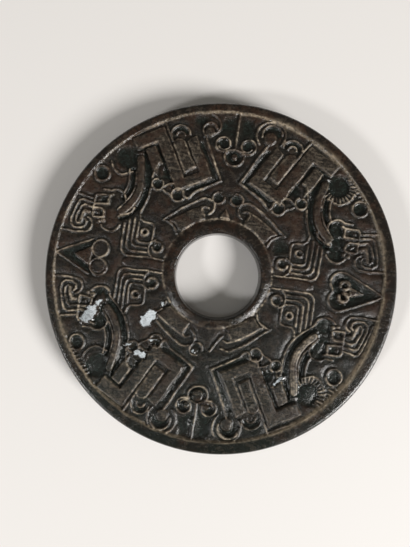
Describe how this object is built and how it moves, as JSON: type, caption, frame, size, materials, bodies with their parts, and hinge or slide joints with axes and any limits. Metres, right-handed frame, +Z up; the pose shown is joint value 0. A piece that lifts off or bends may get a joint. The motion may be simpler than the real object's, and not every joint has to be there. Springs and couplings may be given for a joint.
{
  "type": "jade bi disc",
  "caption": "Flat round disc of dark jade with a round hole, a plain raised rim and ring, and a band of archaistic low relief on one face.",
  "frame": {"origin": "centre of the underside", "axes": "+Z up out of the carved face, +Y along the axis of the two trefoils, +X along the axis of the two hearts"},
  "size_m": [0.13, 0.13, 0.009],
  "materials": {
    "jade": "dark brown-green nephrite, softly polished, with buff deposit along the steps of the relief"
  },
  "bodies": {
    "root": {"bi_disc": "jade"}
  },
  "joints": []
}
